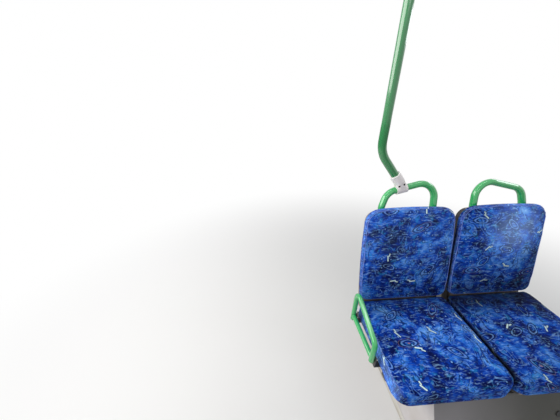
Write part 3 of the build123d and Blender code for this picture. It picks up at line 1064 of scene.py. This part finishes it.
for kind, pad_model, welt_model in simulated:
    for seat, middle, (roll_x, roll_y) in seats:
        pad = for_seat(pad_model, f"{kind.name}_cover_{seat}", middle)
        dress(pad, kind, middle, (roll_x + kind.roll[0], roll_y + kind.roll[1]))
        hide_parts(f"{kind.name}_{seat}")
        edge = for_seat(welt_model, f"{kind.name}_welt_{seat}", middle)
        edge.data.materials.append(edge_thread.material)
        print(pad.name, len(pad.data.polygons), edge.name, len(edge.data.polygons))
    bpy.data.objects.remove(pad_model)
    bpy.data.objects.remove(welt_model)

# %% [markdown]
# ## Screws, bolts, plugs and the lock
#
# A machine screw's head is a short cylinder with a rounded rim and a recess for the
# tool, and a bolt's is a hexagon with a rounded rim, some on a washer. All are the same
# steps on a disc: extrude, bevel the rim, then inset and push in the recess. So one
# function makes any of them, and a table says where they go.

# %% One head
Head = namedtuple("Head", "sides radius height recess washer", defaults=(False, 0))
washer_thickness = 0.0016
washer_sides = 24


def head(form, kind, place, way):
    """Adds a screw or bolt head to a form, standing on a place and looking along a way."""
    part = bmesh.new()
    base = 0
    if kind.washer:
        base = washer_thickness
        bmesh.ops.create_cone(part, cap_ends=True, segments=washer_sides, radius1=kind.washer,
                              radius2=kind.washer, depth=washer_thickness,
                              matrix=Matrix.Translation((0, 0, washer_thickness / 2)))
    disc = bmesh.ops.create_circle(part, cap_ends=True, segments=kind.sides, radius=kind.radius,
                                   matrix=Matrix.Translation((0, 0, base)))
    raised = bmesh.ops.extrude_face_region(part, geom=[disc["verts"][0].link_faces[0]])["geom"]
    top_verts = [item for item in raised if isinstance(item, bmesh.types.BMVert)]
    bmesh.ops.translate(part, verts=top_verts, vec=(0, 0, kind.height))
    top = next(item for item in raised if isinstance(item, bmesh.types.BMFace))
    bmesh.ops.bevel(part, geom=list(top.edges), offset=min(kind.radius * 0.22, kind.height * 0.4),
                    segments=2, profile=0.5, affect="EDGES", material=-1)
    top = max((face for face in part.faces if len(face.verts) == kind.sides),
              key=lambda face: face.calc_center_median().z)
    if kind.recess:
        bmesh.ops.inset_region(part, faces=[top], thickness=kind.radius * 0.38)
        bmesh.ops.translate(part, verts=list(top.verts), vec=(0, 0, -kind.height * 0.45))
    bmesh.ops.recalc_face_normals(part, faces=part.faces)
    turn = Vector(way).to_track_quat("Z", "Y").to_matrix().to_4x4()
    bmesh.ops.transform(part, matrix=Matrix.Translation(place) @ turn, verts=part.verts)
    mesh = mesh_from("head", part)
    form.from_mesh(mesh)
    bpy.data.meshes.remove(mesh)


print("a washer is", washer_thickness * 1000, "mm thick")

# %% A form made a piece
smooth_below = 40


def finished_piece(name, form, finish):
    """Makes a form a smooth-shaded piece with a finish that rides on the seat."""
    mesh = mesh_from(name, form)
    piece = new_object(name, mesh)
    mesh.materials.append(finish.material)
    mesh.set_sharp_from_angle(angle=radians(smooth_below))
    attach(piece, "root")
    return piece


print("faces less than", smooth_below, "degrees apart are shaded as one curve")

# %% Kinds of head
clamp_screw = Head(sides=20, radius=0.0046, height=0.0048, recess=True)
clamp_nut = Head(sides=6, radius=0.0056, height=0.004)
ceiling_screw = Head(sides=20, radius=0.004, height=0.002, recess=True)
foot_bolt = Head(sides=6, radius=0.0075, height=0.0058, washer=0.0105)
rail_bolt = Head(sides=6, radius=0.0066, height=0.005)
bracket_screw = Head(sides=20, radius=0.0045, height=0.003, recess=True)
sheet_screw = Head(sides=20, radius=0.0048, height=0.0018, recess=True)
trim_screw = Head(sides=20, radius=0.0032, height=0.0012, recess=True)
lock = Head(sides=32, radius=0.0125, height=0.0028, recess=True)
print("a foot bolt is", round(2000 * foot_bolt.radius, 1), "mm across its corners")

# %% Sizes that the heads share with the CAD model
left, right, near, far = (-1, 0, 0), (1, 0, 0), (0, -1, 0), (0, 1, 0)

clamp_front_y, clamp_rear_y = 0.2934, 0.3294
clamp_screws_xz = [(-0.2864, 1.0172), (-0.2664, 1.0263)]

pole_y, pole_top = 0.3084, 1.8665
ceiling_rail_z = 1.89
ceiling_clamp_x = -0.4162
ceiling_screws_yz = [(pole_y, pole_top - 0.014), (pole_y, pole_top - 0.032),
                     (pole_y - 0.02, ceiling_rail_z), (pole_y + 0.02, ceiling_rail_z)]

deck_top = 0.336
rail_places_y = (-0.120, 0.1686)
rail_half_width = 0.016
rail_half_length = 0.420
foot_thickness = 0.004
foot_places_x = (-0.205, 0.205)
# How far the two bolts of a foot's side stand off the rail's middle
foot_bolt_off, rail_bolt_off = 0.036, 0.020
rail_bolt_height = 0.016
foot_sides = [(x, y, way) for x in foot_places_x for y in rail_places_y for way in (-1, 1)]

bracket_screws_xyz = [(-0.4315, -0.095, 0.377), (-0.4273, 0.114, 0.377)]
plinth_sides = [(-0.270, left), (0.440, right)]
low_row, high_row = 0.05, 0.315
sheet_screws_yz = [(-0.325, low_row), (-0.10, low_row), (0.12, low_row), (0.33, low_row),
                   (-0.19, high_row), (-0.01, high_row), (0.16, high_row), (0.33, high_row)]
trim_x, trim_screw_z = -0.272, 0.015
trim_screws_y = (-0.33, -0.11, 0.11, 0.33)
lock_place = (0.252, -0.2557, 0.244)
front_way = (0, -0.9056, 0.4242)
print(len(foot_sides), "sides of rail feet,", len(sheet_screws_yz), "screws a plinth side")

# %% Where they go
heads = {
    # piece: finish, slot, [(kind of head, place, way it looks)]
    "clamp_screws": (black_plastic, "frame_grey", [
        (clamp_screw, (x, clamp_front_y, z), near) for x, z in clamp_screws_xz]),
    "clamp_nuts": (zinc, "frame_grey", [
        (clamp_nut, (x, clamp_rear_y, z), far) for x, z in clamp_screws_xz]),
    "ceiling_clamp_screws": (zinc, "frame_grey", [
        (ceiling_screw, (ceiling_clamp_x, y, z), left) for y, z in ceiling_screws_yz]),
    "rail_bolts": (zinc, "frame_grey", [
        (foot_bolt, (x, y + way * foot_bolt_off, deck_top + foot_thickness), up)
        for x, y, way in foot_sides] + [
        (rail_bolt, (x, y + way * rail_bolt_off, deck_top + rail_bolt_height), (0, way, 0))
        for x, y, way in foot_sides]),
    "bracket_screws": (zinc, "frame_grey", [
        (bracket_screw, place, left) for place in bracket_screws_xyz]),
    "plinth_side_screws": (plinth_light, "plinth_light", [
        (sheet_screw, (x, y, z), way) for x, way in plinth_sides for y, z in sheet_screws_yz]),
    "trim_screws": (trim_white, "trim_white", [
        (trim_screw, (trim_x, y, trim_screw_z), left) for y in trim_screws_y]),
    "plinth_lock": (black_plastic, "plinth_dark", [(lock, lock_place, front_way)]),
}
for name, (finish, slot, places) in heads.items():
    form = bmesh.new()
    for kind, place, way in places:
        head(form, kind, place, way)
    piece = finished_piece(name, form, finish)
    print(name, len(places), "heads,", len(piece.data.polygons), "faces")

# %% Plugs in the rails' ends
plug_thickness = 0.0032
plug_round = 0.0012

form = bmesh.new()
plug_size = Matrix.Diagonal((plug_thickness, 2 * rail_half_width, 2 * rail_half_width, 1))
for y in rail_places_y:
    for way in (-1, 1):
        place = (way * (rail_half_length + plug_thickness / 2), y, deck_top + rail_half_width)
        plug = bmesh.ops.create_cube(form, size=1, matrix=Matrix.Translation(place) @ plug_size)
        edges = dict.fromkeys(edge for vert in plug["verts"] for edge in vert.link_edges)
        bmesh.ops.bevel(form, geom=list(edges), offset=plug_round, segments=3, profile=0.5,
                        affect="EDGES", material=-1)
piece = finished_piece("rail_plugs", form, black_plastic)
print("rail plugs:", len(piece.data.polygons), "faces")

# %% [markdown]
# ## Finishes for the CAD nodes
#
# The record gives every node a material slot. One short loop hands each slot's
# finish to its nodes.

# %% Hand out the finishes
finishes = {
    "handle_green": handle_green, "pole_green": pole_green, "clamp_white": clamp_white,
    "plinth_light": plinth_light, "plinth_dark": plinth_dark, "trim_white": trim_white,
    "frame_grey": frame_grey, "shell_grey": shell_grey, "fabric_blue": fabric_blue,
}
for part in frame["record"]["subparts"]:
    node_object = nodes[part["node"]]
    node_object.data.materials.clear()
    node_object.data.materials.append(finishes[part["material_slot"]].material)

# %% [markdown]
